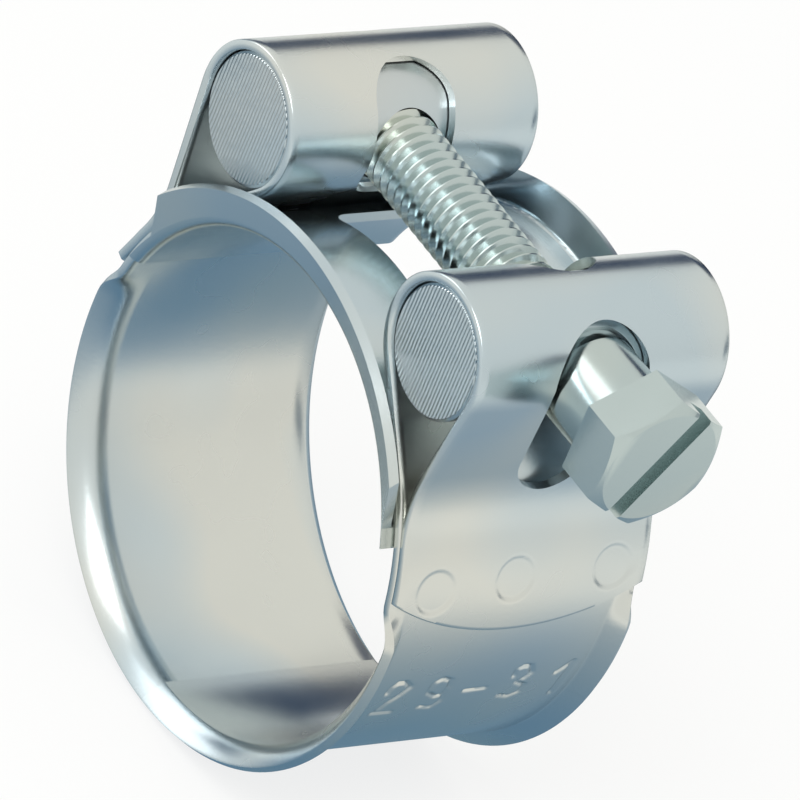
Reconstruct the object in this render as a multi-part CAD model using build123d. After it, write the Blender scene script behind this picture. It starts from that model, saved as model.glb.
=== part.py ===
from build123d import *
from math import acos, asin, atan, cos, degrees, hypot, radians, sin, sqrt, tan
import os

# Bolt hose clamp, drawn open at the wide end of its range. Millimetres.
# Y runs along the hose, X along the bolt towards its head, Z from the hose's centre up to the bolt.

# strip that the band is rolled from
STRIP_W = 18.0
STRIP_T = 0.6
BORE_R = 15.6            # inside of the band, open
RIM_W = 1.2              # width of each flared rim
RIM_RISE = 1.15          # how far a rim stands out
RIM_CLEAR = 1.3          # degrees between a tail's corners and the start of the rims
RIM_FADE = 9.0           # degrees over which a rim grows to its full height
RIM_STEPS = 6            # stretches of that growth

# cross pins and the loops folded round them
PIN_D = 8.0
PIN_INSET = 0.2          # each end lies this far inside the band's edge
PIN_EDGE = 0.2           # chamfer
PIN_X = 10.8             # half of the distance between the pins
PIN_RISE = 2.75          # height of the pins' axes above the top of the bore
LOOP_FIT = 0.1

# tails: lean of the leg, radius of the bend on to the ring, length that lies on it, length that stands off
FRONT_TAIL = (10.0, 8.0, 5.84, 0.0)
REAR_TAIL = (6.0, 8.0, 2.0, 3.3)
TAIL_LAP = 0.02          # the spot welds press a tail this far into the ring
TAIL_END_R = 18.8        # rounding of a tail's end, seen flat

# slots that the bolt passes, each with its play across
IN_SLOT_PLAY = 0.35
IN_SLOT = (81.0, -49.0)  # angles of its ends on the gap side of a loop
OUT_SLOT_PLAY = 0.2      # round the collar
OUT_SLOT_TOP = 54.6      # angle of its upper end on the outer side
OUT_SLOT_FOOT_W = 5.2    # narrow lower end
OUT_SLOT_DROP = 5.45     # centre of that end below the bolt's axis

# bridge under the bolt
BRIDGE_GAP = 0.1
BRIDGE_T = 0.6
BRIDGE_HALF = 67.5       # half of its arc
BRIDGE_TURN = -2.5       # it sits a little towards the rear
BRIDGE_BEND_OUT = 0.4    # the bend lies this far outside the band's edge
BRIDGE_BEND_R = 0.35     # inside radius of the bend
BRIDGE_WALL = (0.9, 1.85)        # how far a side wall runs outwards and upwards
BRIDGE_CUT_X = 13.5      # the side walls end here
BRIDGE_SLOT = (12.6, 6.9, 1.3)   # length, width, corner

# bolt
BOLT_D = 5.0
BOLT_TIP = 4.6           # tip, beyond the rear pin's axis
BOLT_TIP_CHAMFER = 0.7
COLLAR_D = 6.2
COLLAR_STEP = 0.2        # the collar's lead is this much smaller in radius
COLLAR_SEAT = 2.5        # seat, full collar and head, all beyond the front pin's axis
COLLAR_FULL = 3.45
HEX_BACK = 8.1
HEX_FRONT = 11.4
HEX_AF = 7.8
HEX_FACE_IN = 0.15       # the head's flat end is this much smaller in radius than the hexagon
DRIVE_W = 1.2
DRIVE_DEEP = 1.2
DRIVE_TURN = 60
BORE_FIT = 0.1           # radial, bolt in the rear pin and collar in its seat
FRONT_BORE_PLAY = 0.15   # radial, bolt in the front pin

HALF_W = STRIP_W / 2
RIM_FROM = HALF_W - RIM_W
RING_R = BORE_R + STRIP_T / 2
TAIL_R = RING_R + STRIP_T - TAIL_LAP
PIN_R = PIN_D / 2
PIN_Z = BORE_R + PIN_RISE
LOOP_R = PIN_R + LOOP_FIT + STRIP_T / 2      # middle of the strip in a loop


def polar(centre, r, a):
    return (centre[0] + r * cos(radians(a)), centre[1] + r * sin(radians(a)))


def strip(chain, width):
    """Solid of the strip along tangent lines and arcs in XZ; an arc is (centre, radius, start, end)."""
    half = STRIP_T / 2
    sides = ([], [])
    for piece in chain:
        for side, sign in zip(sides, (1, -1)):
            if len(piece) == 2:
                (x0, z0), (x1, z1) = piece
                d = hypot(x1 - x0, z1 - z0)
                nx, nz = -(z1 - z0) / d * half * sign, (x1 - x0) / d * half * sign
                side.append(((x0 + nx, z0 + nz), None, (x1 + nx, z1 + nz)))
            else:
                centre, r, a0, a1 = piece
                rr = r - half * sign if a1 > a0 else r + half * sign
                side.append((polar(centre, rr, a0), polar(centre, rr, (a0 + a1) / 2), polar(centre, rr, a1)))
    edges = []
    for start, middle, end in sides[0] + sides[1]:
        edges.append(Line(start, end) if middle is None else ThreePointArc(start, middle, end))
    edges.append(Line(sides[0][0][0], sides[1][0][0]))
    edges.append(Line(sides[0][-1][2], sides[1][-1][2]))
    return extrude(Plane.XZ * make_face(edges), amount=width / 2, both=True)


def tail_angles(tail):
    """Angles above the horizontal where a tail meets the ring, leaves it again and ends."""
    lean, bend, seated, lifted = tail
    reach = PIN_X * cos(radians(lean)) - PIN_Z * sin(radians(lean)) + LOOP_R
    meet = degrees(acos((bend + reach) / (TAIL_R + bend))) - lean
    leave = meet - degrees(seated / TAIL_R)
    return meet, leave, leave - degrees(atan(lifted / TAIL_R))


def tail_end_z(tail):
    return TAIL_R * sin(radians(tail_angles(tail)[2]))


def rim_start():
    """Angle where the rims start, just below the lower corners of the tails."""
    corner = TAIL_END_R - sqrt(TAIL_END_R ** 2 - HALF_W ** 2)
    lowest = min(tail_end_z(FRONT_TAIL), tail_end_z(REAR_TAIL)) + corner
    return degrees(asin(lowest / TAIL_R)) - RIM_CLEAR


def half_band(tail):
    """Front end of the band: from the ring up round the pin and down on to the ring's outside."""
    lean, bend = tail[:2]
    meet, leave, end = tail_angles(tail)
    o, p = (0.0, 0.0), (PIN_X, PIN_Z)
    off = degrees(atan(PIN_Z / PIN_X)) - degrees(acos((RING_R + LOOP_R) / hypot(*p)))
    leg = (polar(o, RING_R, off), polar(p, LOOP_R, off + 180))
    loop = strip([(o, RING_R, rim_start(), off), leg, (p, LOOP_R, off + 180, -lean)], STRIP_W)
    q = polar(o, TAIL_R + bend, meet)
    down = [(polar(p, LOOP_R, -lean), polar(q, bend, 180 - lean)), (q, bend, 180 - lean, 180 + meet)]
    lap = [(o, TAIL_R, meet, leave)]
    if leave > end:
        lap.append((polar(o, TAIL_R, leave), polar(o, TAIL_R / cos(radians(leave - end)), end)))
    centre = Pos(0, tail_end_z(tail) + TAIL_END_R)
    rounded = extrude(Plane.YZ * centre * Circle(TAIL_END_R), amount=2 * TAIL_R)
    return loop + (strip(down + lap, STRIP_W) & rounded)


def in_slot_cutter():
    """Full-round slot wrapped over the gap side of the front loop."""
    r = BOLT_D / 2 + IN_SLOT_PLAY
    turn = degrees(asin(r / (LOOP_R + STRIP_T / 2)))
    wide = LOOP_R + 2 * STRIP_T
    top, foot = 180 - IN_SLOT[0] + turn, 180 - IN_SLOT[1] - turn
    ends = [polar((0, 0), wide, a) for a in (top, (top + foot) / 2, foot)]
    wedge = make_face([Line((0, 0), ends[0]), ThreePointArc(*ends), Line(ends[2], (0, 0))])
    cut = extrude(Plane.XZ * wedge, amount=r, both=True)
    for a in (top, foot):
        cut += Rot(0, -a, 0) * Pos(wide / 2, 0, 0) * Rot(0, 90, 0) * Cylinder(r, wide)
    return Pos(PIN_X, 0, PIN_Z) * cut


def out_slot_cutter():
    """Slot of the outer side: wide over the collar, narrower down the tail."""
    r, foot = COLLAR_D / 2 + OUT_SLOT_PLAY, OUT_SLOT_FOOT_W / 2
    top = OUT_SLOT_TOP - degrees(asin(r / (LOOP_R + STRIP_T / 2)))
    outline = make_hull(
        (Pos(0, PIN_Z) * Circle(r)).edges() + (Pos(0, PIN_Z - OUT_SLOT_DROP) * Circle(foot)).edges()
    )
    cut = Pos(PIN_X + PIN_R / 2, 0, 0) * extrude(Plane.YZ * outline, amount=2 * PIN_R)
    cut += Pos(PIN_X, 0, PIN_Z) * Rot(0, -top, 0) * Pos(LOOP_R, 0, 0) * Rot(0, 90, 0) * Cylinder(r, LOOP_R)
    return cut


def ring_section(angle, grown):
    """Section across the ring on a radial plane, its rims grown by a share of their rise."""
    rise = RIM_RISE * grown
    slope = atan(rise / (HALF_W - RIM_FROM))
    rim_y, rim_r = HALF_W - STRIP_T * sin(slope), BORE_R + rise + STRIP_T * cos(slope)
    crease = RIM_FROM - STRIP_T * tan(slope / 2)
    side = [(RIM_FROM, BORE_R), (HALF_W, BORE_R + rise), (rim_y, rim_r), (crease, BORE_R + STRIP_T)]
    points = side + [(-y, r) for y, r in reversed(side)]
    c, s = cos(radians(angle)), sin(radians(angle))
    return Face(Wire.make_polygon([(r * c, y, r * s) for y, r in points], close=True))


def make_band():
    start = rim_start()
    full = start - RIM_FADE
    ring = revolve(ring_section(full, 1.0), axis=-Axis.Y, revolution_arc=180 + 2 * full)
    if ring.center().Z > 0:
        ring = revolve(ring_section(full, 1.0), axis=Axis.Y, revolution_arc=180 + 2 * full)
    front = half_band(FRONT_TAIL) - in_slot_cutter() - out_slot_cutter()
    rear = mirror(half_band(REAR_TAIL) - in_slot_cutter() - out_slot_cutter(), about=Plane.YZ)
    band = ring + front + rear
    for k in range(RIM_STEPS):
        parts = []
        for n in (k, k + 1):
            share = n / RIM_STEPS
            grown = share * share * (3 - 2 * share)
            parts.append(ring_section(start - RIM_FADE * share, grown))
        piece = loft(parts, ruled=True)
        band = band + piece + mirror(piece, about=Plane.YZ)
    return band


def make_bridge():
    """Channel bent to the bore: floor under the bolt, side walls folded up outside the band's edges."""
    outer = BORE_R - BRIDGE_GAP
    half = BRIDGE_T / 2
    mid = outer - half
    bend_y = HALF_W + BRIDGE_BEND_OUT
    edge_y, edge_r = bend_y + BRIDGE_WALL[0], mid + BRIDGE_WALL[1] + half
    slope = atan((edge_r - mid) / (edge_y - bend_y))
    nose = half * tan(slope / 2)
    dy, dr = half * sin(slope), half * cos(slope)
    side = [
        (bend_y + nose, mid - half), (edge_y + dy, edge_r - dr),
        (edge_y - dy, edge_r + dr), (bend_y - nose, outer),
    ]
    points = side + [(-y, r) for y, r in reversed(side)]
    section = Face(Wire.make_polygon([(0, y, r) for y, r in points], close=True))
    for r, bend in ((mid - half, BRIDGE_BEND_R + BRIDGE_T), (outer, BRIDGE_BEND_R)):
        section = section.fillet_2d(bend, [v for v in section.vertices() if abs(v.Z - r) < 0.01])
    channel = revolve(section, axis=Axis.Y, revolution_arc=2 * BRIDGE_HALF)
    bridge = Rot(0, BRIDGE_TURN - BRIDGE_HALF, 0) * channel
    block = 4 * BORE_R
    ends = Box(block, block, block) - Box(2 * BRIDGE_CUT_X, block, block)
    ends -= Rot(90, 0, 0) * Cylinder(outer, block)
    length, width, corner = BRIDGE_SLOT
    slot = extrude(RectangleRounded(length, width, corner), amount=2 * BORE_R)
    return bridge - ends - Rot(0, BRIDGE_TURN, 0) * slot


def bar_x(d, x0, x1, x=0.0):
    """Round bar along X at the pins' height, from x0 to x1 beyond x."""
    return Pos(x + (x0 + x1) / 2, 0, PIN_Z) * Rot(0, 90, 0) * Cylinder(d / 2, x1 - x0)


def make_pin(x):
    pin = Pos(x, 0, PIN_Z) * Rot(90, 0, 0) * Cylinder(PIN_R, STRIP_W - 2 * PIN_INSET)
    return chamfer(pin.edges().filter_by(GeomType.CIRCLE), PIN_EDGE)


def make_rear_trunnion():
    return make_pin(-PIN_X) - bar_x(BOLT_D + 2 * BORE_FIT, -PIN_D, PIN_D, -PIN_X)


def make_front_trunnion():
    pin = make_pin(PIN_X) - bar_x(BOLT_D + 2 * FRONT_BORE_PLAY, -PIN_D, PIN_D, PIN_X)
    return pin - bar_x(COLLAR_D + 2 * BORE_FIT, COLLAR_SEAT, PIN_D, PIN_X)


def make_bolt():
    """Threaded shank, round collar with a smaller lead, hex head with a driver slot, all one piece."""
    seat, full, back, front = (PIN_X + v for v in (COLLAR_SEAT, COLLAR_FULL, HEX_BACK, HEX_FRONT))
    tip = -PIN_X - BOLT_TIP
    shank, collar = BOLT_D / 2, COLLAR_D / 2
    inside = (back + front) / 2
    profile = Polyline(
        (tip, 0), (tip, shank - BOLT_TIP_CHAMFER), (tip + BOLT_TIP_CHAMFER, shank), (seat, shank),
        (seat, collar - COLLAR_STEP), (full, collar), (inside, collar), (inside, 0), (tip, 0),
    )
    turned = revolve(Plane.XZ * make_face(profile), axis=Axis.X)
    hexagon = Rot(0, 0, 30) * RegularPolygon(HEX_AF / 2, 6, major_radius=False)
    head = Pos(back, 0, 0) * extrude(Plane.YZ * hexagon, amount=front - back)
    corner, face = HEX_AF / sqrt(3), HEX_AF / 2 - HEX_FACE_IN
    rim = front - (corner - face) * tan(radians(30))
    dome = Polyline(
        (back, 0), (back, corner + 0.1), (rim, corner + 0.1), (rim, corner), (front, face), (front, 0), (back, 0),
    )
    head = head & revolve(Plane.XZ * make_face(dome), axis=Axis.X)
    drive = Pos(front, 0, 0) * Rot(DRIVE_TURN, 0, 0) * Box(2 * DRIVE_DEEP, 2 * HEX_AF, DRIVE_W)
    return Pos(0, 0, PIN_Z) * (turned + head - drive)


if __name__ == "__main__":
    os.makedirs("parts", exist_ok=True)
    parts = {
        "band": make_band(),
        "bridge": make_bridge(),
        "rear_trunnion": make_rear_trunnion(),
        "front_trunnion": make_front_trunnion(),
        "bolt": make_bolt(),
    }
    for name, solid in parts.items():
        export_step(solid, os.path.join("parts", name + ".step"))
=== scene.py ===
import math
import bmesh
import bpy
from mathutils import Matrix, Vector


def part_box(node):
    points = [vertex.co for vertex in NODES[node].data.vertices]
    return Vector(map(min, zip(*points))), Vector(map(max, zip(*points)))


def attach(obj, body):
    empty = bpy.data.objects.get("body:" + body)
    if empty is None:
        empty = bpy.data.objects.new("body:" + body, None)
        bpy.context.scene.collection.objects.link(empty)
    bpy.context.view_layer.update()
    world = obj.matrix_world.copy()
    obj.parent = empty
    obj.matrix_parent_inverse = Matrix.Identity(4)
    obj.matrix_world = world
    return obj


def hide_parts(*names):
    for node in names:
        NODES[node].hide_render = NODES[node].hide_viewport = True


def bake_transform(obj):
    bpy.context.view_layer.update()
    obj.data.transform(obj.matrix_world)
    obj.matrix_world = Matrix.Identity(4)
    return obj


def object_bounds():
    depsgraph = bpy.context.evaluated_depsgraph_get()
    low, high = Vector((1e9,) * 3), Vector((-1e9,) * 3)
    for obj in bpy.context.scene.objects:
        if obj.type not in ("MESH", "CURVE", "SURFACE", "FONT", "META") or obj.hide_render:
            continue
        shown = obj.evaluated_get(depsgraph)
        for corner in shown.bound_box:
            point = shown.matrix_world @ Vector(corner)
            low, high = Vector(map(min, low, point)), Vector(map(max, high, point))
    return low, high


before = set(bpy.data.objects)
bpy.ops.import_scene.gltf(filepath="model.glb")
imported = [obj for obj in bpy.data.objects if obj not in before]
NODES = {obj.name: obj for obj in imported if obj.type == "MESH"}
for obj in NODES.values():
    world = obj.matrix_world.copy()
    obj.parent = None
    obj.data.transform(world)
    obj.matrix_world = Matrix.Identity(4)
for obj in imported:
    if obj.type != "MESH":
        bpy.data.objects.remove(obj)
CAD_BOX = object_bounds()
MM = 0.001

# camera solved on the photograph, taken as 800 pixels square
CAMERA_AT = Vector((404.4, -407.8, 373.0)) * MM
CAMERA_RIGHT = Vector((0.5027, 0.7975, 0.3337))
CAMERA_DOWN = Vector((0.6296, -0.0732, -0.7735))
CAMERA_LENS = 523.7
PHOTO_SENSOR = 36.0

# the strip: sizes repeated from the drawing, in metres and degrees
STRIP_T = 0.6 * MM
STRIP_EDGE = 0.07 * MM           # its sheared edges are slightly rounded
HALF_W = 9.0 * MM
RING_R = 15.9 * MM               # middle of the strip
RIM_W = 1.2 * MM
RIM_RISE = 1.15 * MM
RIM_CLEAR = 1.3
RIM_FADE = 9.0
TAIL_R = 16.48 * MM
TAIL_END_R = 18.8 * MM
TAIL_END_EDGE = 0.14             # rounding of a tail's lower edge, mm
LOOP_R = 4.4 * MM
PIN_X = 10.8 * MM
PIN_Z = 0.5 * (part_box("rear_trunnion")[0].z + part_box("rear_trunnion")[1].z)
PIN = (PIN_X, PIN_Z)
BAR_INSET = 0.25 * MM            # only the pins' ends lie less than this inside the strip's edges

# lean of the leg, radius of the bend on to the ring, length that lies on it, length that stands off
FRONT_TAIL = (10.0, 8.0 * MM, 5.84 * MM, 0.0)
REAR_TAIL = (6.0, 8.0 * MM, 2.0 * MM, 3.3 * MM)

# slots: radii, the angles of their ends, and how far the cutters reach from the pin's axis
IN_SLOT_R = 2.85 * MM
IN_SLOT = (81.0, -49.0)
IN_SLOT_EASE = 0.03 * MM         # its middle is this much narrower, so that the cut edges stay clean
IN_SLOT_REACH = (3.2 * MM, 5.4 * MM)
OUT_SLOT_R = 3.3 * MM
OUT_SLOT_TOP = 54.6
OUT_SLOT_FOOT_R = 2.6 * MM
OUT_SLOT_DROP = 5.45 * MM
OUT_SLOT_REACH = (2.2 * MM, 6.6 * MM)
OUT_SLOT_SPAN = (2.0 * MM, 10.0 * MM)
CUTTER_SIDES = 64

# the bolt
BOLT_R = 2.5 * MM
BOLT_TIP = -15.4 * MM
BOLT_CHAMFER = 0.7 * MM
COLLAR_SEAT = 13.3 * MM
SHANK_LEFT = 0.3 * MM            # piece of plain shank kept under the collar
THREAD_PITCH = 0.8 * MM
THREAD_DEEP = 0.49 * MM
THREAD_STEPS = 48                # in one turn

# stamped size mark: strokes as (mm along Y, mm of arc below the horizontal at radius 17.1)
MARK_R = 17.1
MARK = (
    ((-6.4, 3.45), (-6.33, 2.9), (-6.03, 2.5), (-5.45, 2.49), (-4.89, 3.01), (-5.35, 3.79), (-5.89, 4.5),
     (-6.24, 5.41), (-6.41, 5.6), (-5.02, 5.62)),
    ((-2.03, 2.77), (-2.76, 2.5), (-3.21, 2.88), (-3.22, 3.82), (-2.5, 4.32), (-1.99, 4.2), (-1.9, 3.44),
     (-2.03, 2.77)),
    ((-1.91, 3.82), (-1.76, 4.86), (-2.15, 5.56), (-3.12, 5.39)),
    ((-0.47, 4.03), (1.03, 3.96)),
    ((2.67, 3.06), (2.63, 2.42), (2.99, 2.12), (3.54, 2.19), (3.89, 2.86), (3.57, 3.37), (3.16, 3.69),
     (3.99, 4.11), (3.96, 4.83), (3.34, 5.27), (2.53, 5.02)),
    ((5.8, 3.13), (6.63, 2.16), (6.58, 5.37)),
)
MARK_HALF = 0.19                 # half of a stroke's width, mm
MARK_BLUR = 1.3                  # a stroke's soft edge reaches this share of its half width
MARK_DEEP = 0.15
MARK_ROWS = (1.5, 6.3)           # arc that holds the mark, mm
MARK_SIDE = 7.2 * MM
# spot welds on the front tail: (mm along Y, degrees above the horizontal)
WELDS = ((-6.3, 15.9), (-0.6, 17.2), (6.5, 17.8))
WELD_R = 1.5
WELD_EDGE = 0.28
WELD_DEEP = 0.10

# colour sockets of the Mix node, whose names it repeats for each kind of value
COLOUR_A = 6
COLOUR_B = 7
COLOUR_OUT = 2


def rgb(code):
    """Linear colour of an sRGB hex code."""
    parts = [int(code[i:i + 2], 16) / 255 for i in (1, 3, 5)]
    return [c / 12.92 if c <= 0.04045 else ((c + 0.055) / 1.055) ** 2.4 for c in parts] + [1.0]


def add(tree, kind, links=(), **values):
    """A node with its settings and sockets; a link is (socket name, output that feeds it)."""
    node = tree.nodes.new(kind)
    for key, value in values.items():
        if hasattr(node, key):
            setattr(node, key, value)
        else:
            node.inputs[key.replace("_", " ")].default_value = value
    for name, source in links:
        tree.links.new(source, node.inputs[name])
    return node


def new_material(name):
    material = bpy.data.materials.new(name)
    material.use_nodes = True
    material.node_tree.nodes.clear()
    return material, material.node_tree


def zinc_plated_steel(name, colour, rough, cool="#CDDAE1", grain_mm=0.25):
    """Rolled steel, electroplated and blue-clear passivated: a soft metal shine with faint cool clouds."""
    material, tree = new_material(name)
    place = add(tree, "ShaderNodeTexCoord").outputs["Object"]
    grain = add(tree, "ShaderNodeTexNoise", [("Vector", place)], Scale=1 / (grain_mm * MM))
    cloud = add(tree, "ShaderNodeTexNoise", [("Vector", place)], Scale=1 / (6 * MM))
    film = add(tree, "ShaderNodeTexNoise", [("Vector", place)], Scale=1 / (14 * MM), Detail=1.0)
    shine = add(tree, "ShaderNodeMapRange", [("Value", cloud.outputs["Fac"])],
                To_Min=rough - 0.06, To_Max=rough + 0.08)
    bump = add(tree, "ShaderNodeBump", [("Height", grain.outputs["Fac"])], Strength=0.15, Distance=0.02 * MM)
    spread = add(tree, "ShaderNodeMapRange", [("Value", film.outputs["Fac"])], From_Min=0.38, From_Max=0.62)
    tint = add(tree, "ShaderNodeMix", [(0, spread.outputs["Result"])], data_type="RGBA", blend_type="MIX")
    tint.inputs[COLOUR_A].default_value = rgb(cool)
    tint.inputs[COLOUR_B].default_value = rgb(colour)
    shader = add(tree, "ShaderNodeBsdfPrincipled",
                 [("Base Color", tint.outputs[COLOUR_OUT]), ("Roughness", shine.outputs["Result"]),
                  ("Normal", bump.outputs["Normal"])], Metallic=1.0)
    add(tree, "ShaderNodeOutputMaterial", [("Surface", shader.outputs["BSDF"])])
    return material


def as_object(name, mesh, material=None, sharp=50):
    """Object of a bmesh, smooth but for the edges sharper than an angle."""
    bmesh.ops.recalc_face_normals(mesh, faces=mesh.faces)
    data = bpy.data.meshes.new(name)
    mesh.to_mesh(data)
    mesh.free()
    return link_data(name, data, material, sharp)


def link_data(name, data, material=None, sharp=50):
    """Object of a mesh, shaded the same way."""
    for face in data.polygons:
        face.use_smooth = True
    data.set_sharp_from_angle(angle=math.radians(sharp))
    data.materials.clear()
    if material:
        data.materials.append(material)
    piece = bpy.data.objects.new(name, data)
    bpy.context.scene.collection.objects.link(piece)
    return piece


def cut(piece, cutters):
    """The piece with holes the shape of the cutters, which are taken away afterwards."""
    for cutter in cutters:
        modifier = piece.modifiers.new("hole", "BOOLEAN")
        modifier.operation, modifier.solver, modifier.object = "DIFFERENCE", "EXACT", cutter
        bpy.context.view_layer.update()
        graph = bpy.context.evaluated_depsgraph_get()
        data = bpy.data.meshes.new_from_object(piece.evaluated_get(graph))
        piece.modifiers.clear()
        piece.data = data
        bpy.data.objects.remove(cutter)
    return piece


def at_angle(centre, r, a):
    """Point in XZ at a radius and an angle above the horizontal."""
    return Vector((centre[0] + r * math.cos(math.radians(a)), 0, centre[1] + r * math.sin(math.radians(a))))


def polar(vert):
    """Radius and angle in degrees of a point about the ring's axis."""
    return math.hypot(vert.co.x, vert.co.z), math.degrees(math.atan2(vert.co.z, vert.co.x))


def tail_angles(tail):
    """Angles above the horizontal where a tail meets the ring, leaves it again and ends."""
    lean, bend, seated, lifted = tail
    reach = PIN_X * math.cos(math.radians(lean)) - PIN_Z * math.sin(math.radians(lean)) + LOOP_R
    meet = math.degrees(math.acos((bend + reach) / (TAIL_R + bend))) - lean
    leave = meet - math.degrees(seated / TAIL_R)
    return meet, leave, leave - math.degrees(math.atan(lifted / TAIL_R))


def end_height(tail, y=0.0):
    """Height of a tail's rounded end at a distance from its middle."""
    lowest = TAIL_R * math.sin(math.radians(tail_angles(tail)[2]))
    return lowest + TAIL_END_R - math.sqrt(TAIL_END_R ** 2 - y * y)


RIM_START = math.degrees(math.asin(
    min(end_height(FRONT_TAIL, HALF_W), end_height(REAR_TAIL, HALF_W)) / TAIL_R)) - RIM_CLEAR


def raise_rim(vert):
    """Bend the band's edges outwards, growing below the corners of the tails."""
    r, angle = polar(vert)
    share = min(max((RIM_START - angle) / RIM_FADE, 0), 1)
    if share == 0:
        return
    slope = math.atan(RIM_RISE * share * share * (3 - 2 * share) / RIM_W)
    rise, y, side = RIM_W * math.tan(slope), abs(vert.co.y), math.copysign(1, vert.co.y)
    if r > RING_R:
        crease = HALF_W - RIM_W - STRIP_T * math.tan(slope / 2)
        edge_y, edge_r = HALF_W - STRIP_T * math.sin(slope), r + rise - STRIP_T * (1 - math.cos(slope))
        t = min(max((y - crease) / (HALF_W - crease), 0), 1)
        new_y, new_r = (y, r) if t == 0 else (crease + t * (edge_y - crease), r + t * (edge_r - r))
    else:
        new_y, new_r = y, r + max((y - (HALF_W - RIM_W)) / RIM_W, 0) * rise
    vert.co = Vector((vert.co.x * new_r / r, side * new_y, vert.co.z * new_r / r))


def stroke_distance(y, arc):
    """Distance in mm from a point of the band to the nearest stroke of the size mark."""
    best = math.inf
    for line in MARK:
        for (y0, a0), (y1, a1) in zip(line, line[1:]):
            dy, da = y1 - y0, a1 - a0
            t = min(max(((y - y0) * dy + (arc - a0) * da) / (dy * dy + da * da), 0), 1)
            best = min(best, math.hypot(y - y0 - t * dy, arc - a0 - t * da))
    return best


def press_in(vert, depth):
    """Move a point of the ring or of its tail towards the hose by some mm."""
    r = math.hypot(vert.co.x, vert.co.z)
    vert.co.x *= 1 - depth * MM / r
    vert.co.z *= 1 - depth * MM / r


def strip_outline(columns):
    """Section of the strip at the bottom of the ring, as (y, z) points round it."""
    middle = HALF_W - RIM_W
    outer, inner = -RING_R - STRIP_T / 2, -RING_R + STRIP_T / 2
    across = [-HALF_W + STRIP_EDGE, -HALF_W + RIM_W / 2]
    across += [-middle + 2 * middle * k / columns for k in range(columns + 1)]
    across += [HALF_W - RIM_W / 2, HALF_W - STRIP_EDGE]
    outline = [(y, outer) for y in across]
    outline += [(HALF_W, outer + STRIP_EDGE), (HALF_W, inner - STRIP_EDGE)]
    outline += [(y, inner) for y in reversed(across)]
    return outline + [(-HALF_W, inner - STRIP_EDGE), (-HALF_W, outer + STRIP_EDGE)]


def edges_of(geom):
    return [g for g in geom if isinstance(g, bmesh.types.BMEdge)]


def roll(mesh, row, centre, sweep, steps):
    """Spin the last row round a centre, a positive sweep raising its angle; gives the new row and points."""
    before = set(mesh.verts)
    row = bmesh.ops.spin(mesh, geom=row, cent=(centre[0], 0, centre[1]), axis=(0, -1, 0),
                         angle=math.radians(sweep), steps=steps)["geom_last"]
    return row, [v for v in mesh.verts if v not in before]


def draw(mesh, row, move):
    """Extend the last row straight; gives the new row and points."""
    out = bmesh.ops.extrude_edge_only(mesh, edges=edges_of(row))["geom"]
    new = [g for g in out if isinstance(g, bmesh.types.BMVert)]
    bmesh.ops.translate(mesh, verts=new, vec=move)
    kept = set(new)
    return new + [e for e in mesh.edges if e.verts[0] in kept and e.verts[1] in kept], new


def rolled_half(tail, fine):
    """Front end of the strip in one piece: the ring's half, the loop, the leg and the tail on the ring."""
    lean, bend = tail[:2]
    meet, leave, end = tail_angles(tail)
    far = math.hypot(*PIN)
    off = math.degrees(math.atan(PIN_Z / PIN_X)) - math.degrees(math.acos((RING_R + LOOP_R) / far))
    columns, mark_rows, tail_rows = (152, 46, 40) if fine else (14, 8, 8)
    mesh = bmesh.new()
    ring = [mesh.verts.new((0, y, z)) for y, z in strip_outline(columns)]
    first = [mesh.edges.new(pair) for pair in zip(ring, ring[1:] + ring[:1])]
    row = ring + first
    for sweep, steps in ((68.0, 34), (17.0, mark_rows), (off + 5.0, 36)):
        row, new = roll(mesh, row, (0, 0), sweep, steps)
        ring += new
    row, _ = draw(mesh, row, at_angle(PIN, LOOP_R, off + 180) - at_angle((0, 0), RING_R, off))
    row, _ = roll(mesh, row, PIN, -(off + 180 + lean), 76)
    q = at_angle((0, 0), TAIL_R + bend, meet)
    row, _ = draw(mesh, row, at_angle((q.x, q.z), bend, 180 - lean) - at_angle(PIN, LOOP_R, -lean))
    row, _ = roll(mesh, row, (q.x, q.z), lean + meet, 10)
    row, lap = roll(mesh, row, (0, 0), leave - meet, tail_rows)
    if leave > end:
        tip = at_angle((0, 0), TAIL_R / math.cos(math.radians(leave - end)), end)
        row, new = draw(mesh, row, tip - at_angle((0, 0), TAIL_R, leave))
        lap += new
    bmesh.ops.contextual_create(mesh, geom=first)
    bmesh.ops.contextual_create(mesh, geom=edges_of(row))
    round_tail(lap, {v for e in edges_of(row) for v in e.verts}, tail)
    if fine:
        stamp(ring, lap)
    for vert in ring:
        raise_rim(vert)
    return mesh


def round_tail(lap, last_points, tail):
    """Draw a tail's end in to its curve, and round its lower edge."""
    meet, _, end = tail_angles(tail)
    for vert in lap:
        r, angle = polar(vert)
        stop = math.degrees(math.asin(end_height(tail, vert.co.y) / TAIL_R))
        angle = math.radians(meet + (angle - meet) * (meet - stop) / (meet - end))
        vert.co.x, vert.co.z = r * math.cos(angle), r * math.sin(angle)
    for vert in last_points:
        if polar(vert)[0] > TAIL_R:
            press_in(vert, TAIL_END_EDGE)


def stamp(ring, lap):
    """Press the size mark into the ring's outside and the spot welds into the tail's."""
    soft = MARK_BLUR * MARK_HALF
    for vert in ring:
        r, angle = polar(vert)
        arc = -math.radians(angle) * MARK_R
        if r > RING_R and MARK_ROWS[0] < arc < MARK_ROWS[1] and abs(vert.co.y) < MARK_SIDE:
            d = stroke_distance(vert.co.y / MM, arc)
            if d < soft:
                press_in(vert, MARK_DEEP * (0.5 + 0.5 * math.cos(math.pi * d / soft)))
    for vert in lap:
        r, angle = polar(vert)
        if r > TAIL_R:
            d = min(math.hypot(vert.co.y / MM - y, math.radians(angle - a) * r / MM) for y, a in WELDS)
            if d < WELD_R:
                press_in(vert, WELD_DEEP * min(1, (WELD_R - d) / WELD_EDGE))


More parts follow.
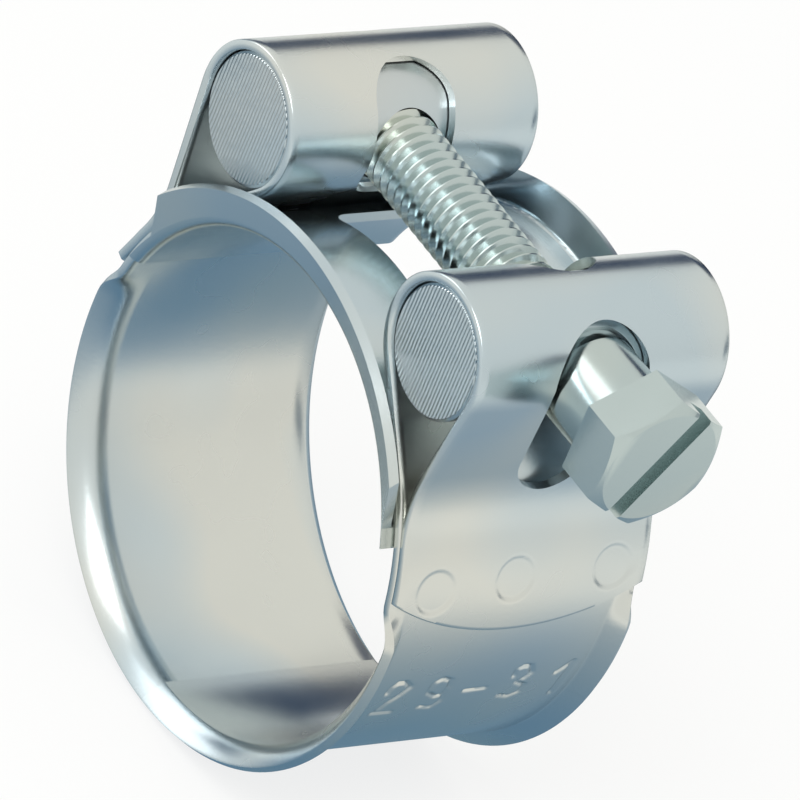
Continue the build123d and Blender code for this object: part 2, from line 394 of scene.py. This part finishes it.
def gap_slot_cutters():
    """Full-round slot wrapped over the gap side of a loop."""
    turn = math.degrees(math.asin(IN_SLOT_R / (LOOP_R + STRIP_T / 2)))
    top, foot = 180 - IN_SLOT[0] + turn, 180 - IN_SLOT[1] - turn
    half = IN_SLOT_R - IN_SLOT_EASE
    near, far = IN_SLOT_REACH
    wedge = bmesh.new()
    verts = []
    for r, y in ((near, -half), (far, -half), (far, half), (near, half)):
        at = at_angle(PIN, r, top)
        verts.append(wedge.verts.new((at.x, y, at.z)))
    first = wedge.faces.new(verts)
    bmesh.ops.spin(wedge, geom=[first] + list(first.verts) + list(first.edges), cent=(PIN_X, 0, PIN_Z),
                   axis=(0, -1, 0), angle=math.radians(foot - top), steps=30)
    return [as_object("cutter", wedge)] + [round_cutter(IN_SLOT_R, a, near, far) for a in (top, foot)]


def round_cutter(radius, angle, near, far):
    """Cylinder that points from the pin's axis at an angle above the horizontal."""
    mesh = bmesh.new()
    bmesh.ops.create_cone(mesh, cap_ends=True, segments=CUTTER_SIDES, radius1=radius, radius2=radius,
                          depth=far - near)
    bmesh.ops.translate(mesh, verts=mesh.verts, vec=(0, 0, (near + far) / 2))
    bmesh.ops.rotate(mesh, verts=mesh.verts, matrix=Matrix.Rotation(math.radians(90 - angle), 3, "Y"))
    bmesh.ops.translate(mesh, verts=mesh.verts, vec=(PIN_X, 0, PIN_Z))
    return as_object("cutter", mesh)


def outer_slot_cutters():
    """Slot of the outer side: wide over the collar, narrower down the leg."""
    mesh = bmesh.new()
    for x in (PIN_X + reach for reach in OUT_SLOT_SPAN):
        for z, r in ((PIN_Z, OUT_SLOT_R), (PIN_Z - OUT_SLOT_DROP, OUT_SLOT_FOOT_R)):
            place = Matrix.Translation((x, 0, z)) @ Matrix.Rotation(math.radians(90), 4, "Y")
            bmesh.ops.create_circle(mesh, cap_ends=False, segments=CUTTER_SIDES, radius=r, matrix=place)
    bmesh.ops.convex_hull(mesh, input=mesh.verts)
    bmesh.ops.delete(mesh, geom=[v for v in mesh.verts if not v.link_faces], context="VERTS")
    bmesh.ops.delete(mesh, geom=[e for e in mesh.edges if not e.link_faces], context="EDGES")
    top = OUT_SLOT_TOP - math.degrees(math.asin(OUT_SLOT_R / (LOOP_R + STRIP_T / 2)))
    return [as_object("cutter", mesh), round_cutter(OUT_SLOT_R, top, *OUT_SLOT_REACH)]


def make_band_half(name, tail, fine, body):
    """Half of the strip, slotted, that runs from the ring round to the pin in its loop."""
    whole = cut(as_object(name, rolled_half(tail, fine), BAND), gap_slot_cutters() + outer_slot_cutters())
    data = whole.data
    bpy.data.objects.remove(whole)
    if body == "rear_pin":
        mesh = bmesh.new()
        mesh.from_mesh(data)
        bmesh.ops.scale(mesh, verts=mesh.verts, vec=(-1, 1, 1))
        bmesh.ops.reverse_faces(mesh, faces=mesh.faces)
        mesh.to_mesh(data)
        mesh.free()
    piece = link_data(name, data, BAND)
    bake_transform(piece)
    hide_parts("band")


def add_thread(mesh, root):
    """Right-hand thread round the shank: a bar of its section, wound to the tip's chamfer."""
    turns = int((COLLAR_SEAT - BOLT_TIP) / THREAD_PITCH) - 1
    sunk = root - 0.2 * MM
    section = ((0.02, root), (0.44, BOLT_R), (0.56, BOLT_R), (0.98, root), (0.98, sunk), (0.02, sunk))
    before = set(mesh.verts)
    verts = [mesh.verts.new((BOLT_TIP + u * THREAD_PITCH, 0, PIN_Z + r)) for u, r in section]
    bar = mesh.faces.new(verts)
    bmesh.ops.spin(mesh, geom=[bar] + verts + list(bar.edges), cent=(0, 0, PIN_Z), axis=(1, 0, 0),
                   angle=2 * math.pi * turns, steps=THREAD_STEPS * turns,
                   dvec=(THREAD_PITCH / THREAD_STEPS, 0, 0))
    for vert in mesh.verts:
        if vert not in before:
            r = math.hypot(vert.co.y, vert.co.z - PIN_Z)
            limit = max(BOLT_R - BOLT_CHAMFER + vert.co.x - BOLT_TIP, root - 0.1 * MM)
            if r > limit:
                vert.co.y *= limit / r
                vert.co.z = PIN_Z + (vert.co.z - PIN_Z) * limit / r


def make_bolt():
    """Collar and head of the drawing, with a shank that carries a real thread."""
    mesh = bmesh.new()
    mesh.from_mesh(NODES["bolt"].data)
    bmesh.ops.remove_doubles(mesh, verts=mesh.verts, dist=0.002 * MM)
    everything = list(mesh.verts) + list(mesh.edges) + list(mesh.faces)
    opened = bmesh.ops.bisect_plane(mesh, geom=everything, plane_co=(COLLAR_SEAT - SHANK_LEFT, 0, 0),
                                    plane_no=(-1, 0, 0), clear_outer=True)
    bmesh.ops.contextual_create(mesh, geom=edges_of(opened["geom_cut"]))
    bmesh.ops.dissolve_limit(mesh, angle_limit=math.radians(0.5), verts=mesh.verts, edges=mesh.edges)
    root = BOLT_R - THREAD_DEEP
    core = root + 0.005 * MM
    middle = Matrix.Translation(((COLLAR_SEAT + BOLT_TIP) / 2, 0, PIN_Z))
    bmesh.ops.create_cone(mesh, cap_ends=True, segments=CUTTER_SIDES, radius1=core, radius2=core,
                          depth=COLLAR_SEAT - BOLT_TIP, matrix=middle @ Matrix.Rotation(math.pi / 2, 4, "Y"))
    add_thread(mesh, root)
    piece = as_object("threaded_bolt", mesh, BOLT, 14)
    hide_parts("bolt")
    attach(piece, "bolt")


def sawn_bar(name, colour, rough):
    """Plated bar, sawn to length: fine parallel lines on its ends, drawn coarser so that they show."""
    material = zinc_plated_steel(name, colour, rough)
    tree = material.node_tree
    place = add(tree, "ShaderNodeTexCoord").outputs["Object"]
    lines = add(tree, "ShaderNodeTexWave", [("Vector", place)], Scale=1 / (0.85 * MM), Distortion=1.0,
                Detail=2.0)
    axes = add(tree, "ShaderNodeSeparateXYZ", [("Vector", place)])
    out = add(tree, "ShaderNodeMath", [(0, axes.outputs["Y"])], operation="ABSOLUTE")
    end = add(tree, "ShaderNodeMath", [(0, out.outputs[0])], operation="GREATER_THAN")
    end.inputs[1].default_value = HALF_W - BAR_INSET
    height = add(tree, "ShaderNodeMath", [(0, lines.outputs["Fac"]), (1, end.outputs[0])],
                 operation="MULTIPLY")
    grain = next(node for node in tree.nodes if node.type == "BUMP")
    saw = add(tree, "ShaderNodeBump", [("Height", height.outputs[0]), ("Normal", grain.outputs["Normal"])],
              Strength=1.0, Distance=0.08 * MM)
    shader = next(node for node in tree.nodes if node.type == "BSDF_PRINCIPLED")
    tree.links.new(saw.outputs["Normal"], shader.inputs["Normal"])
    return material


# rolled strip: an even satin shine, nearly white
BAND = zinc_plated_steel("zinc_plated_strip", "#E6E6E0", 0.25)
# pressed sheet: a little brighter, where the tool has smoothed it
BRIDGE = zinc_plated_steel("zinc_plated_pressing", "#DDE2E0", 0.22)
# drawn bar: duller ends with saw lines
PINS = sawn_bar("zinc_plated_sawn_bar", "#D6DADA", 0.30)
# cold-formed and rolled bolt: the sharpest shine, slightly yellow, on a coarser grain
BOLT = zinc_plated_steel("zinc_plated_bolt_steel", "#E2E2D6", 0.17, "#C8D4D4", 0.4)
FINISHES = {"band": BAND, "bridge": BRIDGE, "rear_trunnion": PINS, "front_trunnion": PINS, "bolt": BOLT}


def set_camera():
    """Camera of the photograph."""
    forward = CAMERA_RIGHT.cross(CAMERA_DOWN).normalized()
    right = CAMERA_RIGHT.normalized()
    up = -forward.cross(right).normalized()
    data = bpy.data.cameras.new("camera")
    data.lens, data.sensor_width = CAMERA_LENS, PHOTO_SENSOR
    camera = bpy.data.objects.new("camera", data)
    turn = Matrix((right, up, -forward)).transposed().to_4x4()
    camera.matrix_world = Matrix.Translation(CAMERA_AT) @ turn
    bpy.context.scene.collection.objects.link(camera)
    bpy.context.scene.camera = camera


def stage_card(name, mesh, material):
    """Flat card of the studio, outside the object."""
    data = bpy.data.meshes.new(name)
    mesh.to_mesh(data)
    mesh.free()
    data.materials.append(material)
    card = bpy.data.objects.new(name, data)
    bpy.context.scene.collection.objects.link(card)
    return card


def white_floor_card():
    """Matt white card that keeps the shadow; to glossy rays it glows instead, a painted reflection,
    grey-blue close by and white far off.
    """
    material, tree = new_material("matt_white_card")
    path = add(tree, "ShaderNodeLightPath")
    card = add(tree, "ShaderNodeBsdfDiffuse", Color=rgb("#F2F2F0"))
    white = add(tree, "ShaderNodeEmission")
    seen = add(tree, "ShaderNodeMath", [(0, path.outputs["Is Camera Ray"])], operation="MULTIPLY")
    seen.inputs[1].default_value = 0.8
    bright = add(tree, "ShaderNodeMixShader",
                 [("Fac", seen.outputs[0]), (1, card.outputs[0]), (2, white.outputs[0])])
    place = add(tree, "ShaderNodeTexCoord")
    far = add(tree, "ShaderNodeVectorMath", [(0, place.outputs["Object"])], operation="LENGTH")
    share = add(tree, "ShaderNodeMapRange", [("Value", far.outputs["Value"])],
                From_Min=22 * MM, From_Max=95 * MM)
    # painted reflection: glossy rays see the card glow grey-blue near the object, fading to white far off
    painted_reflection_tone = add(tree, "ShaderNodeMix", [(0, share.outputs["Result"])], data_type="RGBA", blend_type="MIX")
    painted_reflection_tone.inputs[COLOUR_A].default_value = rgb("#6E8DA2")
    painted_reflection_tone.inputs[COLOUR_B].default_value = rgb("#F0F1EC")
    mirrored = add(tree, "ShaderNodeEmission", [("Color", painted_reflection_tone.outputs[COLOUR_OUT])])
    mix = add(tree, "ShaderNodeMixShader", [("Fac", path.outputs["Is Glossy Ray"]),
                                            (1, bright.outputs[0]), (2, mirrored.outputs[0])])
    add(tree, "ShaderNodeOutputMaterial", [("Surface", mix.outputs[0])])
    return material


def make_floor():
    mesh = bmesh.new()
    bmesh.ops.create_grid(mesh, x_segments=1, y_segments=1, size=2.0)
    bmesh.ops.translate(mesh, verts=mesh.verts, vec=(0, 0, CAD_BOX[0][2]))
    stage_card("floor", mesh, white_floor_card())


def set_light():
    """Plain white room with two soft lamps; each is (name, place, width, watts)."""
    world = bpy.data.worlds.new("studio")
    bpy.context.scene.world = world
    world.use_nodes = True
    tree = world.node_tree
    tree.nodes.clear()
    path = add(tree, "ShaderNodeLightPath")
    dim = add(tree, "ShaderNodeBackground", Color=rgb("#F2F3EE"), Strength=0.9)
    white = add(tree, "ShaderNodeBackground", Color=(1, 1, 1, 1), Strength=1.0)
    mix = add(tree, "ShaderNodeMixShader",
              [("Fac", path.outputs["Is Camera Ray"]), (1, dim.outputs[0]), (2, white.outputs[0])])
    add(tree, "ShaderNodeOutputWorld", [("Surface", mix.outputs[0])])
    lamps = (("key", (0.2, -0.5, 0.7), 0.5, 3.2), ("fill", (-0.6, -0.3, 0.35), 0.6, 1.2))
    for name, at, size, power in lamps:
        lamp = bpy.data.lights.new(name, "AREA")
        lamp.size, lamp.energy = size, power
        holder = bpy.data.objects.new(name, lamp)
        holder.location = at
        holder.rotation_euler = (-Vector(at)).to_track_quat("-Z", "Y").to_euler()
        bpy.context.scene.collection.objects.link(holder)


def dark_card(name, at, size, colour):
    """Card that only the bright metal mirrors, as it does the room in the photograph."""
    at = Vector(at)
    mesh = bmesh.new()
    bmesh.ops.create_grid(mesh, x_segments=1, y_segments=1, size=1)
    bmesh.ops.scale(mesh, verts=mesh.verts, vec=(size[0] / 2, size[1] / 2, 1))
    bmesh.ops.rotate(mesh, verts=mesh.verts, matrix=at.to_track_quat("Z", "Y").to_matrix())
    bmesh.ops.translate(mesh, verts=mesh.verts, vec=at)
    material, tree = new_material("matt_blue_card_" + name)
    glow = add(tree, "ShaderNodeEmission", Color=rgb(colour), Strength=1.0)
    add(tree, "ShaderNodeOutputMaterial", [("Surface", glow.outputs[0])])
    card = stage_card(name, mesh, material)
    card.visible_camera = card.visible_shadow = False


for node, finish in FINISHES.items():
    NODES[node].data.materials.clear()
    NODES[node].data.materials.append(finish)
make_band_half("band_front", FRONT_TAIL, True, "front_pin")
make_band_half("band_rear", REAR_TAIL, False, "rear_pin")
make_bolt()
set_camera()
make_floor()
dark_card("high_back", (-0.27, 0.216, 0.09), (0.34, 0.16), "#1E3350")
dark_card("left_side", (-0.34, -0.02, 0.06), (0.22, 0.10), "#4A6274")
dark_card("right_side", (0.16, 0.30, 0.02), (0.14, 0.07), "#4A6274")
set_light()
bpy.context.scene.view_settings.view_transform = "Standard"
